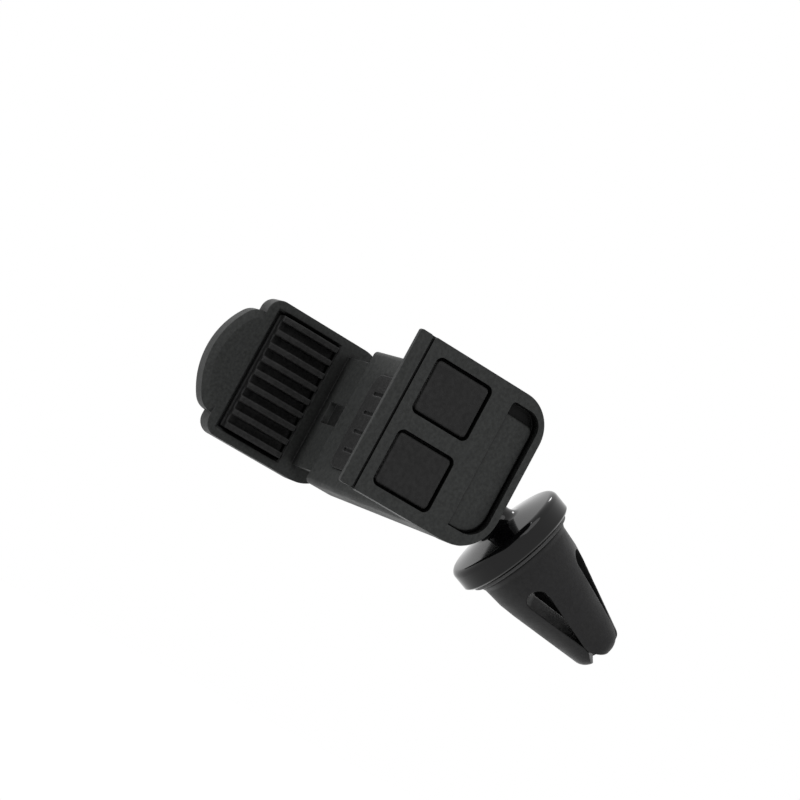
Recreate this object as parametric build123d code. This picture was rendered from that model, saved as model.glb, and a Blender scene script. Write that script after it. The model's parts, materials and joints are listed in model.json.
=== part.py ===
from build123d import *
import os
from math import cos, radians, sin, sqrt

# Phone holder for an air vent. Lengths in millimetres, angles in degrees.
# Frame: +Z up, -Y towards the phone and its user, +X towards the fixed jaw.
# The origin is the point of the rest pad's face that lies on the cradle's spin axis.

# Cradle housing
rest_to_fixed_wall = 26.1
rest_to_open_end = 30.0
housing_front_radius = 1.0
housing_back_radius = 5.0
front_plate_thickness = 1.5
side_wall_thickness = 2.45
end_wall_thickness = 1.8
cover_thickness = 1.8
cover_gap = 0.1
cover_lip_height = 0.8
cover_lip_width = 1.0
rail_thickness = 1.1
rail_boss_gap = 0.12

# Rest pad, which stands a little proud of the front plate
rest_pad_left = 23.0
rest_pad_right = 20.0
rest_pad_half_height = 10.5
rest_pad_radius = 2.5
rest_pad_proud = 0.3
rest_pad_recess = 0.6
rest_groove_count = 4
rest_groove_pitch = 4.2
rest_groove_width = 0.8
rest_groove_depth = 0.35

# Both jaws, a little higher than the housing
jaw_overhang = 0.45
jaw_back_radius_top = 7.0
jaw_back_radius_bottom = 8.0

# Fixed jaw
fixed_wall_thickness = 3.4
fixed_jaw_reach = 21.05
fixed_front_radius = 0.5
lip_thickness = 0.9
lip_length = 2.6
lip_curve = 2.0
strip_width = 2.75
strip_groove_width = 0.55
strip_groove_depth = 0.6
strip_notch = 0.4

# Thumb scoop in the fixed jaw, and the sloping rest that stands in it
scoop_start = 2.4
scoop_length = 7.5
scoop_depth = 2.5
scoop_top = 13.15
scoop_bottom = 12.65
scoop_radius_start = 0.8
scoop_radius_top = 3.4
scoop_radius_bottom = 4.3
scoop_backing = 1.8
thumb_rest_sunk_start = 0.3
thumb_rest_sunk_end = 1.1
thumb_rest_gap_end = 0.4
thumb_rest_gap_top = 2.5
thumb_rest_radius_top = 1.5
thumb_rest_radius_bottom = 5.0
thumb_rest_rounding = 0.45

# Grip pads, and their square bosses that show through the jaws' windows
pad_border = 2.2
pad_corner_radius = 0.5
pad_back = 1.2
pad_gap = 0.1
fixed_pad_front = 15.2
fixed_pad_recess = 1.2
sliding_pad_front = 15.8
sliding_pad_recess = 1.7
pad_front_groove = 0.8
pad_sheet = 0.6
pad_mouth_bevel = 0.5
rib_count = 9
rib_pitch = 3.1
rib_width = 1.25
rib_height = 1.3
rib_inset = 0.4
rib_slope_length = 4.5
rib_slope_drop = 0.7
ramp_length = 3.1
boss_length = 11.95
boss_height = 10.2
boss_front = 14.85
boss_lift = 7.4
boss_radius = 0.8
boss_bevel = 0.35
boss_groove = 0.6

# Sliding jaw and its forked tongue
jaw_opening = 67.0
jaw_travel_in = 12.5
jaw_travel_out = 16.0
sliding_wall_thickness = 4.2
sliding_jaw_reach = 19.2
sliding_front_radius = 3.0
tab_shoulder = 0.9
tab_reach = 6.55
tab_crown_radius = 17.2
tab_corner_radius = 4.0
tab_bevel_width = 1.65
tab_bevel_depth = 0.5
tongue_thickness = 1.5
tongue_gap = 0.1
tongue_side_gap = 0.12
tongue_inner_end = 6.0
tongue_fork_gap = 0.3

# Springs and the pins that hold them
spring_socket_gap = 0.58
spring_wall_gap = 1.0
spring_front_gap = 1.8
spring_back_gap = 0.9
spring_coil_radius = 1.4
spring_wire_radius = 0.3
spring_turns = 13
hook_radius = 1.3
hook_gap = 0.03
anchor_pin_x = 21.0
jaw_stop_gap = 0.2
pin_radius = 0.8
pin_head_radius = 1.3
pin_head_thickness = 0.6
pin_boss_radius = 1.6
pin_boss_gap = 0.1
pin_seat_depth = 2.4

# Screws of the cover and of the socket plate
left_screw_x = -25.8
right_screw_x = 22.3
right_screw_z = 5.2
cover_screw_radius = 1.0
cover_screw_length = 6.0
cover_screw_head_radius = 1.9
cover_screw_head_height = 1.2
screw_post_radius = 2.1
screw_head_gap = 0.12
screw_hole_gap = 0.03
drive_width = 0.5
drive_share = 1.2
drive_depth = 0.5
socket_screw_x = 9.9
socket_screw_radius = 0.9
socket_screw_length = 5.0
socket_screw_head_radius = 1.7
socket_screw_head_height = 0.7
socket_post_radius = 1.9

# Ball socket, along the cradle's spin axis
socket_plate_thickness = 1.0
socket_plate_half_length = 12.0
socket_plate_half_height = 7.4
socket_plate_radius = 3.0
friction_washer_height = 0.36
friction_washer_thickness = 0.22
friction_washer_hole = 2.6
friction_washer_gap = 0.04
cup_floor = 0.6
cup_wall = 0.9
cup_gap = 0.06
cup_rim_gap = 0.1
ball_gap = 0.06
socket_wall = 1.5
socket_lip_angle = 60.0
socket_lip_depth = 0.9
socket_edge_radius = 0.7

# Stem, measured along its own axis from the ball's centre
stem_drop = 21.2
stem_side = 15.6
ball_radius = 5.2
neck_radius = 2.5
neck_waist = 9.0
neck_waist_radius = 2.75
flange_root = 16.28
flange_root_radius = 3.94
flange_root_fillet = 2.0
rim_radius = 12.8
rim_front = 17.95
rim_rounding = 1.3
rim_back = 22.38
rim_bevel = 0.38
cap_wall = 2.0
cap_floor = 18.9
cap_rounding = 0.5
hub_radius = 5.4
spigot_bore_end = 19.6

# Vent clip, measured along the same axis
ring_front_gap = 0.3
ring_thickness = 0.75
ring_radius = 11.4
ring_rounding = 0.2
spigot_radius = 3.4
spigot_gap = 0.06
spigot_end_gap = 0.1
pocket_radius = 3.5
pocket_floor = 24.1
pocket_end = 27.0
core_screw_radius = 1.4
core_screw_length = 9.5
core_screw_gap = 0.1
core_screw_head_radius = 2.7
core_screw_head_height = 1.6
core_washer_radius = 3.1
core_washer_thickness = 0.5
swivel_gap = 0.06
boot_root_gap = 0.1
boot_root_radius = 10.5
boot_root_rounding = 0.3
boot_foot = 24.9
boot_foot_radius = 9.86
boot_foot_rounding = 0.8
boot_barrel = 29.0
boot_barrel_radius = 9.5
boot_shoulder = 32.2
boot_shoulder_radius = 8.85
boot_body_rounding = 5.0
boot_tip = 49.5
boot_tip_radius = 4.6
boot_tip_rounding = 2.9
boot_wall = 1.3
boot_end_wall = 1.6
core_body_rounding = 3.0
core_tip_rounding = 1.0
slot_turn = 30.0
slot_width = 4.7
slot_root = 29.3
slot_close = 45.0
slot_part = 46.5
slot_pinch = 0.15
slot_mouth = 4.0
slot_wall = 1.2

# Places worked out from the sizes, from the rest pad's face inwards
plate_front = rest_pad_proud
plate_back = plate_front + front_plate_thickness
tongue_front = plate_back + tongue_gap
tongue_back = tongue_front + tongue_thickness
rail_front = tongue_back + tongue_gap
rail_back = rail_front + rail_thickness
socket_plate_back = rail_front + socket_plate_thickness
cup_front = socket_plate_back + friction_washer_gap + friction_washer_height
ball_y = cup_front + cup_floor + ball_gap + ball_radius
cup_radius = ball_radius + ball_gap + cup_wall
socket_bore = cup_radius + cup_gap
socket_radius = socket_bore + socket_wall
coil_outer_radius = spring_coil_radius + spring_wire_radius
spring_depth = rail_front + spring_front_gap + coil_outer_radius
pin_boss_top = spring_depth - coil_outer_radius - pin_boss_gap
cover_front = spring_depth + coil_outer_radius + spring_back_gap
housing_depth = cover_front + cover_thickness

# Heights, from the socket outwards
spring_line = socket_radius + spring_socket_gap + coil_outer_radius
inner_half_height = spring_line + coil_outer_radius + spring_wall_gap
rail_inner_edge = spring_line + pin_boss_radius + rail_boss_gap
housing_half_height = inner_half_height + side_wall_thickness
jaw_half_height = housing_half_height + jaw_overhang
pad_half_height = jaw_half_height - pad_border
tab_half_width = jaw_half_height - sliding_front_radius - tab_shoulder

# Places across the cradle
fixed_face_x = rest_to_fixed_wall
fixed_outer_x = fixed_face_x + fixed_wall_thickness
fixed_crest_x = fixed_face_x - rib_height
sliding_crest_x = fixed_crest_x - jaw_opening
sliding_face_x = sliding_crest_x - rib_height
sliding_outer_x = sliding_face_x - sliding_wall_thickness
backing_x = fixed_outer_x - scoop_depth - scoop_backing
tongue_half_height = inner_half_height - tongue_side_gap
fork_half_width = screw_post_radius + tongue_fork_gap
fork_root_x = left_screw_x - screw_post_radius - jaw_travel_in - tongue_fork_gap
jaw_pin_x = pin_boss_radius + jaw_travel_out + jaw_stop_gap + end_wall_thickness - rest_to_open_end
boss_middle = boss_length / 2 - boss_front

# Places along the stem
ring_front = rim_back + ring_front_gap
ring_back = ring_front + ring_thickness
boot_root = ring_back + boot_root_gap
core_radius = boot_barrel_radius - boot_wall
core_end = boot_tip - boot_end_wall
core_end_radius = boot_tip_radius - boot_wall
screw_seat = pocket_floor + swivel_gap + core_washer_thickness

stem_direction = Vector(
    cos(radians(stem_drop)) * sin(radians(stem_side)),
    cos(radians(stem_drop)) * cos(radians(stem_side)),
    -sin(radians(stem_drop)),
)
up_across_stem = Vector(0, 0, 1) - stem_direction * stem_direction.Z
stem_plane = Plane(origin=(0, ball_y, 0), x_dir=up_across_stem, z_dir=stem_direction)
socket_frame = Plane(origin=(0, ball_y, 0), x_dir=(1, 0, 0), z_dir=(0, 1, 0))


def block(x_low, x_high, y_low, y_high, z_low, z_high):
    """A box between two corners."""
    middle = Pos((x_low + x_high) / 2, (y_low + y_high) / 2, (z_low + z_high) / 2)
    return middle * Box(x_high - x_low, y_high - y_low, z_high - z_low)


def post(x, z, radius, y_low, y_high):
    """A round post or hole whose axis is parallel to Y."""
    middle = Pos(x, (y_low + y_high) / 2, z)
    return middle * Rot(90, 0, 0) * Cylinder(radius, y_high - y_low)


def slab(face, x_low, x_high):
    """A face drawn in (y, z), made solid between two x planes."""
    return extrude(Plane.YZ.offset(x_low) * face, amount=x_high - x_low)


def outline(*corners):
    """A closed face from (across, up, corner radius) corners."""
    points = [(across, up) for across, up, radius in corners]
    radii = [radius for across, up, radius in corners]
    return make_face(FilletPolyline(*points, radius=radii, close=True).edges())


def turned(face):
    """A half section drawn as (radius, height), turned about Z."""
    return revolve(Plane.XZ * face, Axis.Z, 360)


def screw(radius, length, head_radius, head_height):
    """A pan-head screw with its shank below z = 0 and a cross recess in its head."""
    shank = Pos(0, 0, -length / 2) * Cylinder(radius, length)
    head = turned(outline((0, 0, 0), (head_radius, 0, 0), (head_radius, head_height, head_height / 2),
                          (0, head_height, 0)))
    bar = Box(head_radius * drive_share, drive_width, drive_depth * 2)
    drive = Pos(0, 0, head_height) * (bar + Rot(0, 0, 90) * bar)
    return shank + head - drive


def housing_form(x_low, x_high, y_low, y_high):
    """The housing's rounded outer form between two places across it and two depths."""
    face = outline(
        (plate_front, -housing_half_height, housing_front_radius),
        (housing_depth, -housing_half_height, housing_back_radius),
        (housing_depth, housing_half_height, housing_back_radius),
        (plate_front, housing_half_height, housing_front_radius),
    )
    layer = block(x_low, x_high, y_low, y_high, -housing_half_height, housing_half_height)
    return slab(face, x_low, x_high) & layer


def jaw_outline(reach, front_radius):
    """A jaw's side outline, with its large corners at the back."""
    return outline(
        (-reach, -jaw_half_height, front_radius),
        (housing_depth, -jaw_half_height, jaw_back_radius_bottom),
        (housing_depth, jaw_half_height, jaw_back_radius_top),
        (-reach, jaw_half_height, front_radius),
    )


def boss_faces(margin):
    """The outlines of the two square bosses, or of their windows with a margin."""
    square = RectangleRounded(
        boss_length + 2 * margin, boss_height + 2 * margin, boss_radius + margin
    )
    return Pos(boss_middle, boss_lift) * square + Pos(boss_middle, -boss_lift) * square


def grip_pad(front, recess, wall):
    """A ribbed rubber pad whose back lies at x = 0 and whose ribs point to +x."""
    half_height = pad_half_height - pad_gap
    crest = recess + rib_height
    radius = pad_corner_radius
    sheet_face = outline((-front, -half_height, radius), (-pad_back, -half_height, radius),
                         (-pad_back, half_height, radius), (-front, half_height, radius))
    sheet = slab(sheet_face, 0, pad_sheet)
    rib_front = -front + rib_inset
    rib_back = -pad_back - rib_inset
    rib_face = make_face(Polyline(
        (0, rib_front), (crest - rib_slope_drop, rib_front), (crest, rib_front + rib_slope_length),
        (crest, rib_back), (0, rib_back), close=True,
    ))
    ramp_face = make_face(Polyline(
        (0, rib_front), (recess, rib_front), (pad_sheet / 2, rib_front + ramp_length),
        (0, rib_front + ramp_length), close=True,
    ))
    ribbed_half = (rib_count - 1) / 2 * rib_pitch + rib_width / 2
    pad = sheet + extrude(Plane.XY.offset(-ribbed_half) * ramp_face, amount=2 * ribbed_half)
    rib = extrude(Plane.XY.offset(-rib_width / 2) * rib_face, amount=rib_width)
    for index in range(rib_count):
        pad += Pos(0, 0, (index - (rib_count - 1) / 2) * rib_pitch) * rib
    bosses = slab(boss_faces(0), -wall, 0)
    outer_edges = bosses.edges().filter_by_position(Axis.X, -wall, -wall)
    return pad + chamfer(outer_edges, boss_bevel)


def fixed_grip_pad():
    """The fixed jaw's pad, its ribs towards the phone."""
    pad = grip_pad(fixed_pad_front, fixed_pad_recess, fixed_wall_thickness - fixed_pad_recess)
    return Pos(fixed_face_x + fixed_pad_recess, 0, 0) * mirror(pad, Plane.YZ)


def jaw_grip_pad():
    """The sliding jaw's pad."""
    pad = grip_pad(sliding_pad_front, sliding_pad_recess, sliding_wall_thickness - sliding_pad_recess)
    return Pos(sliding_face_x - sliding_pad_recess, 0, 0) * pad


def pad_recess_tool(front, recess):
    """The recess for a grip pad, with a bevelled mouth, open towards +x at x = 0."""
    front_edge = -front - pad_front_groove
    pocket = block(-recess, 0, front_edge, -pad_back + pad_gap, -pad_half_height, pad_half_height)
    bevel = pad_mouth_bevel
    mouth_face = outline((front_edge, -pad_half_height, 0), (-pad_back, -pad_half_height, 0),
                         (-pad_back, pad_half_height, 0), (front_edge, pad_half_height, 0))
    mouth = extrude(Plane.YZ.offset(-bevel) * mouth_face, amount=2 * bevel, taper=-45)
    return pocket + mouth


def fixed_jaw_wall():
    """The fixed jaw: a thin front lip, square windows, a groove and a thumb scoop."""
    curve_front = -fixed_jaw_reach + lip_length
    lip_x = fixed_outer_x - lip_thickness
    section = make_face([
        Line((fixed_face_x, housing_depth), (fixed_outer_x, housing_depth)),
        Line((fixed_outer_x, housing_depth), (fixed_outer_x, -fixed_jaw_reach)),
        Line((fixed_outer_x, -fixed_jaw_reach), (lip_x, -fixed_jaw_reach)),
        Line((lip_x, -fixed_jaw_reach), (lip_x, curve_front)),
        ThreePointArc(
            (lip_x, curve_front),
            (lip_x - lip_curve * (1 - sqrt(0.5)), curve_front + lip_curve * sqrt(0.5)),
            (lip_x - lip_curve, curve_front + lip_curve),
        ),
        Line((lip_x - lip_curve, curve_front + lip_curve), (fixed_face_x, curve_front + lip_curve)),
        Line((fixed_face_x, curve_front + lip_curve), (fixed_face_x, housing_depth)),
    ])
    wall = extrude(Plane.XY.offset(-jaw_half_height) * section, amount=2 * jaw_half_height)
    wall &= slab(jaw_outline(fixed_jaw_reach, fixed_front_radius), fixed_face_x, fixed_outer_x)
    groove_front = -fixed_jaw_reach + strip_width
    groove_back = groove_front + strip_groove_width
    wall -= block(fixed_outer_x - strip_groove_depth, fixed_outer_x, groove_front, groove_back,
                  -jaw_half_height, jaw_half_height)
    notch = make_face(Polyline(
        (groove_front - strip_notch, jaw_half_height), (groove_front, jaw_half_height - strip_notch),
        (groove_back, jaw_half_height - strip_notch), (groove_back + strip_notch, jaw_half_height),
        close=True,
    ))
    wall -= slab(notch + mirror(notch, Plane.XZ), fixed_outer_x - strip_groove_depth, fixed_outer_x)
    return wall


def thumb_rest():
    """The scoop's island: it slopes inwards, and its outer edges are rounded."""
    end = scoop_start + scoop_length - thumb_rest_gap_end
    top = scoop_top - thumb_rest_gap_top
    face = outline(
        (scoop_start, -scoop_bottom, 0), (end, -scoop_bottom, thumb_rest_radius_bottom),
        (end, top, thumb_rest_radius_top), (scoop_start, top, 0),
    )
    floor_x = fixed_outer_x - scoop_depth
    slope = make_face(Polyline(
        (floor_x, scoop_start), (fixed_outer_x - thumb_rest_sunk_start, scoop_start),
        (fixed_outer_x - thumb_rest_sunk_end, end), (floor_x, end), close=True,
    ))
    wedge = extrude(Plane.XY.offset(-scoop_bottom) * slope, amount=scoop_bottom + top)
    rest = wedge & slab(face, floor_x, fixed_outer_x)
    upper = rest.faces().sort_by(Axis.X)[-1]
    rounded = upper.edges().sort_by(Axis.Y)[1:]
    return fillet(rounded, thumb_rest_rounding)


def thumb_scoop():
    """The scoop's hollow around its sloping rest."""
    face = outline(
        (scoop_start, -scoop_bottom, 0),
        (scoop_start + scoop_length, -scoop_bottom, scoop_radius_bottom),
        (scoop_start + scoop_length, scoop_top, scoop_radius_top),
        (scoop_start, scoop_top, scoop_radius_start),
    )
    return slab(face, fixed_outer_x - scoop_depth, fixed_outer_x) - thumb_rest()


def cradle_shell():
    """The front shell and the fixed jaw, moulded in one piece."""
    left_x = -rest_to_open_end
    shell = housing_form(left_x, fixed_face_x, plate_front, cover_front)
    shell -= block(left_x, backing_x, plate_back, cover_front, -inner_half_height, inner_half_height)
    for way in (-1, 1):
        inner_z = way * rail_inner_edge
        outer_z = way * inner_half_height
        shell += block(left_x + end_wall_thickness + cover_gap, backing_x, rail_front, rail_back,
                       min(inner_z, outer_z), max(inner_z, outer_z))
        anchor_z = way * spring_line
        shell += post(anchor_pin_x, anchor_z, pin_boss_radius, plate_back, pin_boss_top)
        shell -= post(anchor_pin_x, anchor_z, pin_radius, pin_boss_top - pin_seat_depth, pin_boss_top)
        screw_z = way * right_screw_z
        shell += post(right_screw_x, screw_z, screw_post_radius, plate_back, cover_front)
        shell += block(right_screw_x, backing_x, plate_back, cover_front,
                       screw_z - screw_post_radius, screw_z + screw_post_radius)
    shell += post(left_screw_x, 0, screw_post_radius, plate_back, cover_front)
    shell += fixed_jaw_wall()
    hole_bottom = housing_depth - cover_screw_head_height - cover_screw_length - screw_head_gap
    for x, z in cover_screw_places():
        shell -= post(x, z, cover_screw_radius + screw_hole_gap, hole_bottom, cover_front)
    shell -= thumb_scoop()
    recess = pad_recess_tool(fixed_pad_front, fixed_pad_recess)
    shell -= Pos(fixed_face_x, 0, 0) * mirror(recess, Plane.YZ)
    shell -= slab(boss_faces(boss_groove), fixed_face_x, fixed_outer_x)
    shell -= rest_pad_blank(plate_front + rest_pad_recess)
    return shell


def rest_pad_blank(back):
    """The rest pad's rounded plate, from the origin's plane back to a depth."""
    length = rest_pad_left + rest_pad_right
    face = RectangleRounded(length, 2 * rest_pad_half_height, rest_pad_radius)
    middle = (rest_pad_right - rest_pad_left) / 2
    return extrude(Plane.XZ * (Pos(middle, 0) * face), amount=-back)


def rest_pad():
    """The rest pad with shallow grooves in its face."""
    pad = rest_pad_blank(plate_front + rest_pad_recess)
    groove = SlotOverall(rest_pad_left + rest_pad_right - 2 * rest_pad_radius, rest_groove_width)
    middle = (rest_pad_right - rest_pad_left) / 2
    for index in range(rest_groove_count):
        z = (index - (rest_groove_count - 1) / 2) * rest_groove_pitch
        pad -= extrude(Plane.XZ * (Pos(middle, z) * groove), amount=-rest_groove_depth)
    return pad


def cover_screw_places():
    """Where the cover's screws stand, as (x, z)."""
    return [(left_screw_x, 0), (right_screw_x, right_screw_z), (right_screw_x, -right_screw_z)]


def socket_boss():
    """The socket's wall and its lip, which holds the ball from behind."""
    front = socket_plate_back - ball_y
    seat = ball_radius + ball_gap
    lip = radians(socket_lip_angle)
    lip_back = (seat + socket_lip_depth) * cos(lip)
    walls = FilletPolyline(
        (socket_bore, 0), (socket_bore, front), (socket_radius, front), (socket_radius, lip_back),
        ((seat + socket_lip_depth) * sin(lip), lip_back), (seat * sin(lip), seat * cos(lip)),
        radius=[0, 0, socket_edge_radius, 0],
    )
    half_way = (lip + radians(90)) / 2
    ball_seat = ThreePointArc(
        (seat * sin(lip), seat * cos(lip)), (seat * sin(half_way), seat * cos(half_way)), (seat, 0)
    )
    step = Line((seat, 0), (socket_bore, 0))
    return socket_frame * turned(make_face(walls.edges() + [ball_seat.edge(), step.edge()]))


def rear_cover():
    """The back plate with the ball socket, its screw posts and the open end's wall."""
    left_x = -rest_to_open_end
    right_x = fixed_face_x - cover_gap
    cover = housing_form(left_x, right_x, cover_front, housing_depth)
    lip_half = inner_half_height - cover_gap
    for way in (-1, 1):
        inner_z = way * (lip_half - cover_lip_width)
        cover += block(left_x + end_wall_thickness, anchor_pin_x - pin_head_radius,
                       cover_front - cover_lip_height, cover_front,
                       min(inner_z, way * lip_half), max(inner_z, way * lip_half))
    cover += block(left_x, left_x + end_wall_thickness, rail_front, cover_front, -lip_half, lip_half)
    cover -= post(0, 0, socket_radius - socket_wall / 2, 0, housing_depth)
    cover += socket_boss()
    for way in (-1, 1):
        x = way * socket_screw_x
        ear = post(x, 0, socket_post_radius, socket_plate_back, cover_front)
        root_x = way * (socket_radius - socket_wall / 2)
        ear += block(min(x, root_x), max(x, root_x), socket_plate_back, cover_front,
                     -socket_post_radius / 2, socket_post_radius / 2)
        hole_end = rail_front + socket_screw_length + screw_head_gap
        cover += ear
        cover -= post(x, 0, socket_screw_radius + screw_hole_gap, socket_plate_back, hole_end)
    seat = housing_depth - cover_screw_head_height - screw_head_gap
    for x, z in cover_screw_places():
        cover -= post(x, z, cover_screw_radius + screw_head_gap, cover_front, housing_depth)
        cover -= post(x, z, cover_screw_head_radius + screw_head_gap, seat, housing_depth)
    return cover


def cover_screws():
    """The cover's screws, their heads sunk in the back."""
    seat = housing_depth - cover_screw_head_height - screw_head_gap
    one = screw(cover_screw_radius, cover_screw_length, cover_screw_head_radius,
                cover_screw_head_height)
    group = []
    for x, z in cover_screw_places():
        group.append(Plane(origin=(x, seat, z), x_dir=(1, 0, 0), z_dir=(0, 1, 0)) * one)
    return Compound(group)


def countersunk_screw():
    """A socket plate screw with its flat head's face at z = 0 and its shank below."""
    body = turned(make_face(Polyline(
        (0, 0), (socket_screw_head_radius, 0), (socket_screw_radius, -socket_screw_head_height),
        (socket_screw_radius, -socket_screw_length), (0, -socket_screw_length), close=True,
    )))
    bar = Box(socket_screw_head_radius * drive_share, drive_width, drive_depth)
    return body - bar - Rot(0, 0, 90) * bar


def socket_screws():
    """The two screws that pull the socket plate against the socket."""
    one = countersunk_screw()
    group = []
    for x in (-socket_screw_x, socket_screw_x):
        group.append(Plane(origin=(x, rail_front, 0), x_dir=(1, 0, 0), z_dir=(0, -1, 0)) * one)
    return Compound(group)


def socket_plate():
    """The plate that closes the socket from inside, behind the tongue."""
    face = RectangleRounded(
        2 * socket_plate_half_length, 2 * socket_plate_half_height, socket_plate_radius
    )
    plate = extrude(Plane.XZ.offset(-rail_front) * face, amount=-socket_plate_thickness)
    for x in (-socket_screw_x, socket_screw_x):
        hole = turned(make_face(Polyline(
            (0, 0), (socket_screw_head_radius + screw_hole_gap, 0),
            (socket_screw_radius + screw_hole_gap, -socket_screw_head_height - screw_hole_gap),
            (socket_screw_radius + screw_hole_gap, -socket_plate_thickness),
            (0, -socket_plate_thickness), close=True,
        )))
        plate -= Plane(origin=(x, rail_front, 0), x_dir=(1, 0, 0), z_dir=(0, -1, 0)) * hole
    return plate


def friction_washer():
    """A disc spring between the socket plate and the cup."""
    low = socket_plate_back + friction_washer_gap - ball_y
    high = low + friction_washer_height
    outer = cup_radius - cup_gap
    ring = turned(make_face(Polyline(
        (friction_washer_hole, high - friction_washer_thickness), (outer, low),
        (outer, low + friction_washer_thickness), (friction_washer_hole, high), close=True,
    )))
    return socket_frame * ring


def ball_cup():
    """The smooth cup in front of the ball."""
    seat = ball_radius + ball_gap
    front = cup_front - ball_y
    walls = Polyline((0, -seat), (0, front), (cup_radius, front), (cup_radius, -cup_rim_gap),
                     (sqrt(seat ** 2 - cup_rim_gap ** 2), -cup_rim_gap))
    bowl = ThreePointArc(
        (sqrt(seat ** 2 - cup_rim_gap ** 2), -cup_rim_gap),
        (seat * sqrt(0.5), -seat * sqrt(0.5)), (0, -seat),
    )
    return socket_frame * turned(make_face(walls.edges() + [bowl.edge()]))


def ball_stem():
    """The ball, its neck and the round flange that caps the vent clip."""
    ball_exit = sqrt(ball_radius ** 2 - neck_radius ** 2)
    screw_end = screw_seat - core_screw_length - spigot_end_gap
    hole = core_screw_radius + screw_hole_gap
    spigot_bore = spigot_radius + spigot_gap
    cap_inner = rim_radius - cap_wall
    hub_end = ring_front - swivel_gap
    half_exit = (ball_exit - ball_radius) / 2
    ball_arc = ThreePointArc(
        (0, -ball_radius), (sqrt(ball_radius ** 2 - half_exit ** 2), half_exit),
        (neck_radius, ball_exit),
    )
    skin = FilletPolyline(
        (neck_radius, ball_exit), (neck_waist_radius, neck_waist),
        (flange_root_radius, flange_root), (rim_radius, rim_front),
        (rim_radius, rim_back - rim_bevel), (rim_radius - rim_bevel, rim_back),
        (cap_inner, rim_back), (cap_inner, cap_floor), (hub_radius, cap_floor),
        (hub_radius, hub_end), (spigot_bore, hub_end), (spigot_bore, spigot_bore_end),
        (hole, spigot_bore_end), (hole, screw_end), (0, screw_end),
        radius=[neck_waist, flange_root_fillet, rim_rounding, 0, 0, 0, cap_rounding, cap_rounding,
                0, 0, 0, 0, 0],
    )
    axis_line = Line((0, screw_end), (0, -ball_radius))
    face = make_face([ball_arc.edge()] + skin.edges() + [axis_line.edge()])
    return stem_plane * turned(face)


def slot_tool(skin):
    """One slot across the prongs, widened by a skin on each side."""
    arch = slot_width / 2 + skin
    arch_centre = slot_root + slot_width / 2
    pinch = slot_pinch / 2 + skin
    mouth = slot_mouth / 2 + skin
    beyond = boot_tip + slot_width
    right = [
        Line((arch, arch_centre), (pinch, slot_close)),
        Line((pinch, slot_close), (pinch, slot_part)),
        Line((pinch, slot_part), (mouth, boot_tip)),
        Line((mouth, boot_tip), (mouth, beyond)),
    ]
    left = [
        Line((-mouth, beyond), (-mouth, boot_tip)),
        Line((-mouth, boot_tip), (-pinch, slot_part)),
        Line((-pinch, slot_part), (-pinch, slot_close)),
        Line((-pinch, slot_close), (-arch, arch_centre)),
    ]
    top = Line((mouth, beyond), (-mouth, beyond))
    root = ThreePointArc((-arch, arch_centre), (0, arch_centre - arch), (arch, arch_centre))
    face = make_face(right + [top] + left + [root])
    reach = 2 * boot_root_radius
    return extrude(Plane.XZ.offset(-reach / 2) * face, amount=reach)


def crossed_slots(skin):
    """Two slots at right angles, turned to their place about the stem."""
    one = slot_tool(skin)
    return Rot(0, 0, slot_turn) * (one + Rot(0, 0, 90) * one)


def local_prong_core():
    """The clip's base ring, spigot and four stiff fingers, along Z."""
    spigot_front = spigot_bore_end + spigot_end_gap
    bore = core_screw_radius + core_screw_gap
    face = outline(
        (bore, spigot_front, 0), (spigot_radius, spigot_front, 0), (spigot_radius, ring_front, 0),
        (ring_radius, ring_front, ring_rounding), (ring_radius, ring_back, ring_rounding),
        (core_radius, ring_back, 0), (core_radius, boot_barrel, core_body_rounding),
        (boot_shoulder_radius - boot_wall, boot_shoulder, core_body_rounding),
        (core_end_radius, core_end, core_tip_rounding), (0, core_end, 0), (0, pocket_end, 0),
        (pocket_radius, pocket_end, 0), (pocket_radius, pocket_floor, 0), (bore, pocket_floor, 0),
    )
    return turned(face) - crossed_slots(slot_wall)


def local_boot_blank():
    """The rubber boot's outer form with its crossed slots, along Z."""
    face = outline(
        (0, boot_root, 0), (boot_root_radius, boot_root, boot_root_rounding),
        (boot_foot_radius, boot_foot, boot_foot_rounding),
        (boot_barrel_radius, boot_barrel, boot_body_rounding),
        (boot_shoulder_radius, boot_shoulder, boot_body_rounding),
        (boot_tip_radius, boot_tip, boot_tip_rounding), (0, boot_tip, 0),
    )
    return turned(face) - crossed_slots(0)


def prong_core():
    """The vent clip's stiff core."""
    return stem_plane * local_prong_core()


def rubber_boot():
    """The rubber cover over the core's fingers, with room for the screw's head."""
    pocket_cap = Pos(0, 0, (boot_root + pocket_end) / 2) * Cylinder(pocket_radius, pocket_end - boot_root)
    return stem_plane * (local_boot_blank() - local_prong_core() - pocket_cap)


def core_screw():
    """The screw that holds the clip on the stem."""
    one = screw(core_screw_radius, core_screw_length, core_screw_head_radius, core_screw_head_height)
    return stem_plane * Pos(0, 0, screw_seat) * one


def core_washer():
    """The washer on which the clip's core swivels."""
    disc = Cylinder(core_washer_radius, core_washer_thickness)
    disc -= Cylinder(core_screw_radius + screw_hole_gap, core_washer_thickness)
    return stem_plane * Pos(0, 0, screw_seat - core_washer_thickness / 2) * disc


def finger_tab():
    """The sliding jaw's finger tab: a flat arc with round corners, bevelled on both faces."""
    front = -sliding_jaw_reach - tab_reach
    root = -sliding_jaw_reach + sliding_front_radius
    crown = Pos(front + tab_crown_radius, 0) * Circle(tab_crown_radius)
    band = Pos((front + root) / 2, 0) * Rectangle(root - front, 2 * tab_half_width)
    face = crown & band
    face = fillet(face.vertices().sort_by(Axis.X)[:2], tab_corner_radius)
    tab = slab(face, sliding_outer_x, sliding_face_x)
    for order in (0, -1):
        side = tab.faces().sort_by(Axis.X)[order]
        edges = side.edges().sort_by(Axis.Y)[:-1]
        tab = chamfer(edges, tab_bevel_width, tab_bevel_depth, reference=side)
    return tab


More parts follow.
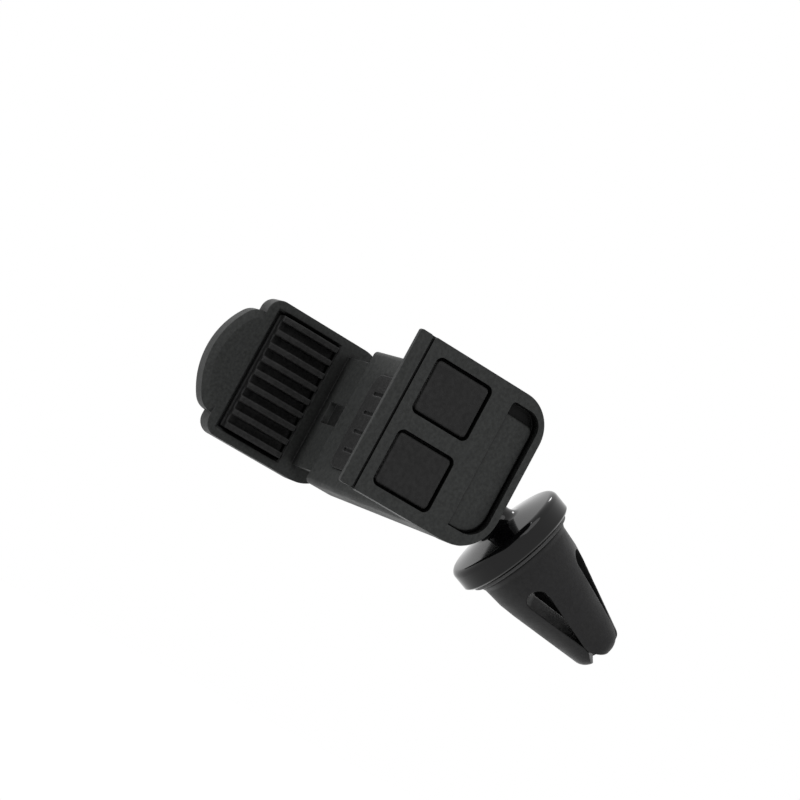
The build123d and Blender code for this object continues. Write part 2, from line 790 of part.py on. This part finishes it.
def sliding_jaw():
    """The sliding jaw with its finger tab, pad recess, windows and forked tongue."""
    jaw = slab(jaw_outline(sliding_jaw_reach, sliding_front_radius), sliding_outer_x, sliding_face_x)
    jaw += finger_tab()
    middle_x = (sliding_outer_x + sliding_face_x) / 2
    tongue = block(middle_x, tongue_inner_end, tongue_front, tongue_back,
                   -tongue_half_height, tongue_half_height)
    tongue -= block(fork_root_x, tongue_inner_end, tongue_front, tongue_back,
                    -fork_half_width, fork_half_width)
    jaw += tongue
    for z in (-spring_line, spring_line):
        jaw += post(jaw_pin_x, z, pin_boss_radius, tongue_back, pin_boss_top)
        jaw -= post(jaw_pin_x, z, pin_radius, pin_boss_top - pin_seat_depth, pin_boss_top)
    jaw -= Pos(sliding_face_x, 0, 0) * pad_recess_tool(sliding_pad_front, sliding_pad_recess)
    jaw -= slab(boss_faces(boss_groove), sliding_outer_x, sliding_face_x)
    return jaw


def spring_pins(x):
    """The two headed pins that stand at one end of the springs."""
    low = pin_boss_top - pin_seat_depth
    high = spring_depth + spring_wire_radius + spring_coil_radius / 2
    group = []
    for z in (-spring_line, spring_line):
        shank = post(x, z, pin_radius, low, high)
        group.append(shank + post(x, z, pin_head_radius, high, high + pin_head_thickness))
    return Compound(group)


def tension_spring(z):
    """A tension spring with a round hook over the pin at each end."""
    hook_reach = hook_radius - spring_wire_radius - pin_radius - hook_gap
    left_hook_x = jaw_pin_x + hook_reach
    right_hook_x = anchor_pin_x - hook_reach
    start_x = left_hook_x + hook_radius + spring_coil_radius / 2
    end_x = right_hook_x - hook_radius - spring_coil_radius / 2
    coil_length = end_x - start_x
    path = Helix(coil_length / spring_turns, coil_length, spring_coil_radius)
    wire = Plane(origin=path @ 0, z_dir=path % 0) * Circle(spring_wire_radius)
    coil = sweep(wire, path=path, is_frenet=True)
    coil_plane = Plane(origin=(start_x, spring_depth, z), x_dir=(0, 0, 1), z_dir=(1, 0, 0))
    spring = coil_plane * coil
    for hook_x, coil_x, way in ((left_hook_x, start_x, 1), (right_hook_x, end_x, -1)):
        hook = Pos(hook_x, spring_depth, z) * Rot(90, 0, 0) * Torus(hook_radius, spring_wire_radius)
        near = Vector(hook_x + way * hook_radius, spring_depth, z)
        far = Vector(coil_x, spring_depth, z + spring_coil_radius)
        link = Line(near, far)
        section = Plane(origin=near, z_dir=far - near) * Circle(spring_wire_radius)
        spring += hook + sweep(section, path=link)
        spring += Pos(far.X, far.Y, far.Z) * Sphere(spring_wire_radius)
    return spring


os.makedirs("parts", exist_ok=True)
nodes = {
    "cradle_shell": cradle_shell(),
    "rear_cover": rear_cover(),
    "rest_pad": rest_pad(),
    "fixed_grip_pad": fixed_grip_pad(),
    "sliding_jaw": sliding_jaw(),
    "jaw_grip_pad": jaw_grip_pad(),
    "upper_spring": tension_spring(spring_line),
    "lower_spring": tension_spring(-spring_line),
    "anchor_pins": spring_pins(anchor_pin_x),
    "jaw_pins": spring_pins(jaw_pin_x),
    "cover_screws": cover_screws(),
    "socket_plate": socket_plate(),
    "socket_screws": socket_screws(),
    "friction_washer": friction_washer(),
    "ball_cup": ball_cup(),
    "ball_stem": ball_stem(),
    "core_screw": core_screw(),
    "core_washer": core_washer(),
    "prong_core": prong_core(),
    "rubber_boot": rubber_boot(),
}
for name, shape in nodes.items():
    export_step(shape, f"parts/{name}.step")
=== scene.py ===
import bpy
import json
from math import cos, pi, radians, sin
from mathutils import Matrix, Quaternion, Vector


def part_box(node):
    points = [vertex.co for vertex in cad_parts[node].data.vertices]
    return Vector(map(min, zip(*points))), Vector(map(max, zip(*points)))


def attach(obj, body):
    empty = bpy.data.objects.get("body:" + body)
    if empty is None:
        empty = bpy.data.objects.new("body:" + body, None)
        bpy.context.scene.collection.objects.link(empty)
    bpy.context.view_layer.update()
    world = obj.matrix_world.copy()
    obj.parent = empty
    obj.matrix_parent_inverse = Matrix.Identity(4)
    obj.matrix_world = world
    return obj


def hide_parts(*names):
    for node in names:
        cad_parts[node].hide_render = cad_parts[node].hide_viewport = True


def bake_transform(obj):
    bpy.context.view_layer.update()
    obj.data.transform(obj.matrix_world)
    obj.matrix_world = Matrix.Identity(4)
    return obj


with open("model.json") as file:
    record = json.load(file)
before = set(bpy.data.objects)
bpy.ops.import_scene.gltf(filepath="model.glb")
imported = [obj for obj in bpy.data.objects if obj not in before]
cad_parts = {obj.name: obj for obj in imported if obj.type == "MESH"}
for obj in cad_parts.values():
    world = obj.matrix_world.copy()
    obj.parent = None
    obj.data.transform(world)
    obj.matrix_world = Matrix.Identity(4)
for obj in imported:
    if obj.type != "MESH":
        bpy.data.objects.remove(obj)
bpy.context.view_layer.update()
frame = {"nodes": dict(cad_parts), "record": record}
nodes = frame["nodes"]
scene = bpy.context.scene
scene.view_settings.view_transform = "Standard"

# Camera: the photograph's place, direction, roll and field of view
camera_place = Vector((0.4589, -0.2240, -0.0451))
camera_direction = Vector((-0.89726, 0.43021, 0.09919))
camera_roll = radians(-28.48)
camera_lens = 119.78
sensor_width = 36.0
nearest_seen = 0.01
farthest_seen = 20

# Stage: the sky and three lamps light the object, and the floor keeps its shadow
floor_height = -0.16
floor_size = 6.0
floor_colour = 0.80
floor_roughness = 0.9
floor_specular = 0.1
floor_glow = 0.41
sky_light = 0.30
side_lamp = {"towards": (0.60, -0.42, 0.68), "strength": 1.1, "spread": radians(48)}
front_lamp = {"towards": (-0.05, -0.72, 0.69), "strength": 0.7, "spread": radians(13)}
back_lamp = {"towards": (-0.68, 0.0, 0.73), "strength": 0.25, "spread": radians(10)}

# Edges, rounded as the bevel of a shading normal and tinted lighter: partly real wear, partly a
# painted highlight. Their lean from the flat normal at full tint is given as a cosine
edge_radius = 0.00024
worn_and_lit_edge_colour = (0.10, 0.10, 0.103)
full_edge_tint_lean = 0.75
shader_samples = 6

# Painted shade: the base colour darkens in hollows, where little light reaches; how near their walls
# are, the openness the shade starts and ends at, and its darkest tone
hollow_reach = 0.0045
rib_hollow_reach = 0.0007
hollow_openness = (0.48, 0.95)
darkest_painted_shade = 0.04

# Noise: the range that most of its values lie in, the uneven gloss, and the spots of the grain
noise_range = (0.3, 0.7)
gloss_blotch = 0.008
gloss_detail = 5
grain_detail = 3
spot_share = 3
spot_detail = 4
spot_tones = (0.72, 1.28)
sheen_roughness = 0.35

# Soft rubber pieces: their bevels, the size of the pads' remesh and how far their edges are smoothed
boot_edge_radius = 0.0005
pad_edge_radius = 0.0004
pad_voxel = 0.00020
smoothing_factor = 0.5
smoothing_steps = 1

# Tension springs, which stretch between the pins of the cradle and of the sliding jaw. The hooks'
# radius is a share of the coil's, and the coil starts at a multiple of it from the pin
spring_wire = 0.0003
hook_share = 0.93
coil_start = 1.7
left_hook_turns = (radians(35), radians(350))
right_hook_turns = (radians(190), radians(505))
spring_turns = 20
steps_per_turn = 20
wire_sides = 8


def add_camera():
    """The camera, level with the horizon before its roll."""
    data = bpy.data.cameras.new("camera")
    data.lens = camera_lens
    data.sensor_width = sensor_width
    data.clip_start = nearest_seen
    data.clip_end = farthest_seen
    camera = bpy.data.objects.new("camera", data)
    level = camera_direction.to_track_quat("-Z", "Y")
    camera.rotation_mode = "QUATERNION"
    camera.rotation_quaternion = Quaternion(camera_direction, camera_roll) @ level
    camera.location = camera_place
    scene.collection.objects.link(camera)
    scene.camera = camera


def background_share(tree):
    """A node socket that is 1 for rays from the camera, mirrors and glass, and 0 for others."""
    path = tree.nodes.new("ShaderNodeLightPath")
    share = path.outputs["Is Camera Ray"]
    for ray in ("Is Glossy Ray", "Is Transmission Ray"):
        larger = tree.nodes.new("ShaderNodeMath")
        larger.operation = "MAXIMUM"
        tree.links.new(share, larger.inputs[0])
        tree.links.new(path.outputs[ray], larger.inputs[1])
        share = larger.outputs["Value"]
    return share


def add_floor():
    """A pale floor that shows white where no shadow falls."""
    half = floor_size / 2
    mesh = bpy.data.meshes.new("floor")
    corners = [(-half, -half, floor_height), (half, -half, floor_height),
               (half, half, floor_height), (-half, half, floor_height)]
    mesh.from_pydata(corners, [], [(0, 1, 2, 3)])
    floor = bpy.data.objects.new("floor", mesh)
    scene.collection.objects.link(floor)
    material = bpy.data.materials.new("floor")
    material.use_nodes = True
    tree = material.node_tree
    shader = tree.nodes["Principled BSDF"]
    shader.inputs["Base Color"].default_value = (floor_colour, floor_colour, floor_colour, 1)
    shader.inputs["Roughness"].default_value = floor_roughness
    shader.inputs["Specular IOR Level"].default_value = floor_specular
    glow = tree.nodes.new("ShaderNodeEmission")
    glow.inputs["Strength"].default_value = floor_glow
    lit = tree.nodes.new("ShaderNodeAddShader")
    tree.links.new(shader.outputs[0], lit.inputs[0])
    tree.links.new(glow.outputs[0], lit.inputs[1])
    mix = tree.nodes.new("ShaderNodeMixShader")
    tree.links.new(background_share(tree), mix.inputs[0])
    tree.links.new(shader.outputs[0], mix.inputs[1])
    tree.links.new(lit.outputs[0], mix.inputs[2])
    tree.links.new(mix.outputs[0], tree.nodes["Material Output"].inputs[0])
    mesh.materials.append(material)


def add_sky():
    """Plain pale light, seen as white by the camera and by reflections."""
    world = bpy.data.worlds.new("world")
    scene.world = world
    world.use_nodes = True
    tree = world.node_tree
    soft = tree.nodes["Background"]
    soft.inputs["Color"].default_value = (1, 1, 1, 1)
    soft.inputs["Strength"].default_value = sky_light
    white = tree.nodes.new("ShaderNodeBackground")
    white.inputs["Color"].default_value = (1, 1, 1, 1)
    white.inputs["Strength"].default_value = 1.0
    mix = tree.nodes.new("ShaderNodeMixShader")
    tree.links.new(background_share(tree), mix.inputs[0])
    tree.links.new(soft.outputs[0], mix.inputs[1])
    tree.links.new(white.outputs[0], mix.inputs[2])
    tree.links.new(mix.outputs[0], tree.nodes["World Output"].inputs[0])


def add_lamp(name, towards, strength, spread):
    """A broad even lamp, far away in the direction given."""
    data = bpy.data.lights.new(name, "SUN")
    data.energy = strength
    data.angle = spread
    lamp = bpy.data.objects.new(name, data)
    lamp.rotation_mode = "QUATERNION"
    lamp.rotation_quaternion = Vector(towards).to_track_quat("Z", "Y")
    scene.collection.objects.link(lamp)


def mapped(tree, source, given, wanted):
    """A value moved from one range to another, and kept in it."""
    spread = tree.nodes.new("ShaderNodeMapRange")
    ends = zip(("From Min", "From Max", "To Min", "To Max"), given + wanted)
    for name, end in ends:
        spread.inputs[name].default_value = end
    tree.links.new(source, spread.inputs["Value"])
    return spread.outputs["Result"]


def noise(tree, size, detail):
    """Noise whose largest blotches have a size in metres."""
    texture = tree.nodes.new("ShaderNodeTexNoise")
    texture.inputs["Scale"].default_value = 1 / size
    texture.inputs["Detail"].default_value = detail
    place = tree.nodes.new("ShaderNodeTexCoord")
    tree.links.new(place.outputs["Object"], texture.inputs["Vector"])
    return texture.outputs["Fac"]


def edge_wear_and_highlight(tree, rounded, amount):
    """How far a point's rounded normal leans from its flat one, times an amount: the share of the
    lighter edge tint, part wear and part painted highlight.
    """
    geometry = tree.nodes.new("ShaderNodeNewGeometry")
    dot = tree.nodes.new("ShaderNodeVectorMath")
    dot.operation = "DOT_PRODUCT"
    tree.links.new(rounded.outputs["Normal"], dot.inputs[0])
    tree.links.new(geometry.outputs["Normal"], dot.inputs[1])
    return mapped(tree, dot.outputs["Value"], (1.0, full_edge_tint_lean), (0.0, amount))


def painted_hollow_shade(tree, rounded, reach):
    """A painted shade: a tone that falls from 1 in the open to a dark one deep in a hollow."""
    openness = tree.nodes.new("ShaderNodeAmbientOcclusion")
    openness.samples = shader_samples
    openness.inputs["Distance"].default_value = reach
    tree.links.new(rounded.outputs["Normal"], openness.inputs["Normal"])
    return mapped(tree, openness.outputs["AO"], hollow_openness, (darkest_painted_shade, 1.0))


def multiplied(tree, colour, tone):
    """A colour times a tone."""
    shade = tree.nodes.new("ShaderNodeMix")
    shade.data_type = "RGBA"
    shade.blend_type = "MULTIPLY"
    shade.inputs["Factor"].default_value = 1.0
    tree.links.new(colour, shade.inputs["A"])
    tree.links.new(tone, shade.inputs["B"])
    return shade.outputs["Result"]


def grained(name, colour, roughness, grain_size, grain_depth, mottle=0.08, wear_and_highlight=0.2,
            specular=0.5, metallic=0.0, sheen=0.0, radius=edge_radius, reach=hollow_reach):
    """A moulded surface: fine grain, uneven roughness and tone, rounded edges tinted lighter as wear
    and painted highlight, and painted shade in hollows.
    """
    material = bpy.data.materials.new(name)
    material.use_nodes = True
    tree = material.node_tree
    link = tree.links.new
    shader = tree.nodes["Principled BSDF"]
    shader.inputs["Metallic"].default_value = metallic
    shader.inputs["Specular IOR Level"].default_value = specular
    shader.inputs["Sheen Weight"].default_value = sheen
    shader.inputs["Sheen Roughness"].default_value = sheen_roughness

    rounded = tree.nodes.new("ShaderNodeBevel")
    rounded.samples = shader_samples
    rounded.inputs["Radius"].default_value = radius
    bump = tree.nodes.new("ShaderNodeBump")
    bump.inputs["Distance"].default_value = grain_depth
    link(noise(tree, grain_size, grain_detail), bump.inputs["Height"])
    link(rounded.outputs["Normal"], bump.inputs["Normal"])
    link(bump.outputs["Normal"], shader.inputs["Normal"])

    blotches = noise(tree, gloss_blotch, gloss_detail)
    gloss = mapped(tree, blotches, noise_range, (roughness - mottle, roughness + mottle))
    link(gloss, shader.inputs["Roughness"])
    base = tree.nodes.new("ShaderNodeMix")
    base.data_type = "RGBA"
    base.inputs["A"].default_value = (*colour, 1)
    base.inputs["B"].default_value = (*worn_and_lit_edge_colour, 1)
    # Painted highlight: rounded edges are tinted lighter, partly as wear and partly as a painted
    # highlight
    link(edge_wear_and_highlight(tree, rounded, wear_and_highlight), base.inputs["Factor"])
    spots = mapped(tree, noise(tree, grain_size * spot_share, spot_detail), noise_range, spot_tones)
    spotted = multiplied(tree, base.outputs["Result"], spots)
    # Painted shade: the base colour is darkened in hollows by ambient occlusion
    shaded = multiplied(tree, spotted, painted_hollow_shade(tree, rounded, reach))
    link(shaded, shader.inputs["Base Color"])
    return material


def softened(name, node, body):
    """A rubber pad with the form of its node and soft rounded edges."""
    mesh = nodes[node].data.copy()
    piece = bpy.data.objects.new(name, mesh)
    scene.collection.objects.link(piece)
    remesh = piece.modifiers.new("remesh", "REMESH")
    remesh.mode = "VOXEL"
    remesh.voxel_size = pad_voxel
    remesh.use_smooth_shade = True
    smooth = piece.modifiers.new("smooth", "SMOOTH")
    smooth.factor = smoothing_factor
    smooth.iterations = smoothing_steps
    changed = piece.evaluated_get(bpy.context.evaluated_depsgraph_get())
    shaped = bpy.data.meshes.new_from_object(changed)
    piece.modifiers.clear()
    piece.data = shaped
    bpy.data.meshes.remove(mesh)
    dress(piece, slot_of[node])
    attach(piece, body)
    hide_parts(node)


def coil_line(start, end, radius):
    """Points along a coil between two points on its axis, which is parallel to X."""
    count = spring_turns * steps_per_turn
    points = []
    for step in range(count + 1):
        turn = 2 * pi * step / steps_per_turn
        centre = start + (end - start) * step / count
        points.append(centre + Vector((0, radius * cos(turn), radius * sin(turn))))
    return points


def hook_line(centre, radius, start_turn, end_turn):
    """Points round a hook that lies flat round its pin."""
    count = steps_per_turn
    points = []
    for step in range(count + 1):
        turn = start_turn + (end_turn - start_turn) * step / count
        points.append(centre + Vector((radius * cos(turn), 0, radius * sin(turn))))
    return points


def wire_mesh(name, line, radius):
    """A round wire along a line of points, closed at both ends."""
    mesh = bpy.data.meshes.new(name)
    corners = []
    side = Vector((0, 1, 0))
    for index, point in enumerate(line):
        ahead = line[min(index + 1, len(line) - 1)] - line[max(index - 1, 0)]
        ahead.normalize()
        side = (side - ahead * side.dot(ahead)).normalized()
        up = ahead.cross(side)
        for corner in range(wire_sides):
            turn = 2 * pi * corner / wire_sides
            corners.append(point + radius * (side * cos(turn) + up * sin(turn)))
    faces = []
    for ring in range(len(line) - 1):
        for corner in range(wire_sides):
            near = ring * wire_sides + corner
            beside = ring * wire_sides + (corner + 1) % wire_sides
            faces.append((near, beside, beside + wire_sides, near + wire_sides))
    faces.append(tuple(reversed(range(wire_sides))))
    last = (len(line) - 1) * wire_sides
    faces.append(tuple(range(last, last + wire_sides)))
    mesh.from_pydata(corners, [], faces)
    mesh.update()
    for face in mesh.polygons:
        face.use_smooth = len(face.vertices) == 4
    return mesh


def tension_spring(name, node):
    """A coil between its two hooks."""
    low, high = (Vector(corner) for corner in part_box(node))
    middle = (low + high) / 2
    coil = (high.y - low.y) / 2 - spring_wire
    hook = coil * hook_share
    left = Vector((low.x + hook + spring_wire, middle.y, middle.z))
    right = Vector((high.x - hook - spring_wire, middle.y, middle.z))
    inwards = Vector((hook * coil_start, 0, 0))
    line = hook_line(left, hook, *left_hook_turns)
    line += coil_line(left + inwards, right - inwards, coil)
    line += hook_line(right, hook, *right_hook_turns)
    piece = bpy.data.objects.new(name, wire_mesh(name, line, spring_wire))
    scene.collection.objects.link(piece)
    dress(piece, slot_of[node])
    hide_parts(node)
    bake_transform(piece)


def dress(piece, slot):
    """Gives a piece the one material of its slot."""
    piece.data.materials.clear()
    piece.data.materials.append(materials[slot])


add_camera()
add_floor()
add_sky()
add_lamp("side_lamp", **side_lamp)
add_lamp("front_lamp", **front_lamp)
add_lamp("back_lamp", **back_lamp)

slot_of = {entry["node"]: entry["material_slot"] for entry in frame["record"]["subparts"]}
materials = {
    "shell_plastic": grained("shell_plastic", (0.0345, 0.0360, 0.0352), 0.50, 0.00022, 0.00003,
                             specular=0.16, wear_and_highlight=0.4),
    "grip_rubber": grained("grip_rubber", (0.0200, 0.0200, 0.0200), 0.54, 0.00030, 0.00008,
                           specular=0.14, wear_and_highlight=0.8, radius=pad_edge_radius,
                           reach=rib_hollow_reach),
    "boot_rubber": grained("boot_rubber", (0.0130, 0.0130, 0.0134), 0.44, 0.00025, 0.00004,
                           specular=0.20, sheen=0.02, wear_and_highlight=0.05, mottle=0.16,
                           radius=boot_edge_radius),
    "gloss_black": grained("gloss_black", (0.003, 0.003, 0.0033), 0.08, 0.0012, 0.000002,
                           mottle=0.03, wear_and_highlight=0.02, specular=0.26),
    "core_plastic": grained("core_plastic", (0.020, 0.020, 0.021), 0.40, 0.00025, 0.00002),
    "cup_plastic": grained("cup_plastic", (0.75, 0.74, 0.70), 0.35, 0.0004, 0.00001, wear_and_highlight=0.0),
    "bright_steel": grained("bright_steel", (0.55, 0.55, 0.56), 0.30, 0.0002, 0.00001,
                            wear_and_highlight=0.0, metallic=1.0),
    "dark_steel": grained("dark_steel", (0.03, 0.03, 0.032), 0.38, 0.0002, 0.00001, specular=0.6),
}
for node, slot in slot_of.items():
    dress(nodes[node], slot)

softened("fixed_jaw_grip", "fixed_grip_pad", "cradle")
softened("sliding_jaw_grip", "jaw_grip_pad", "jaw")
tension_spring("upper_coil", "upper_spring")
tension_spring("lower_coil", "lower_spring")
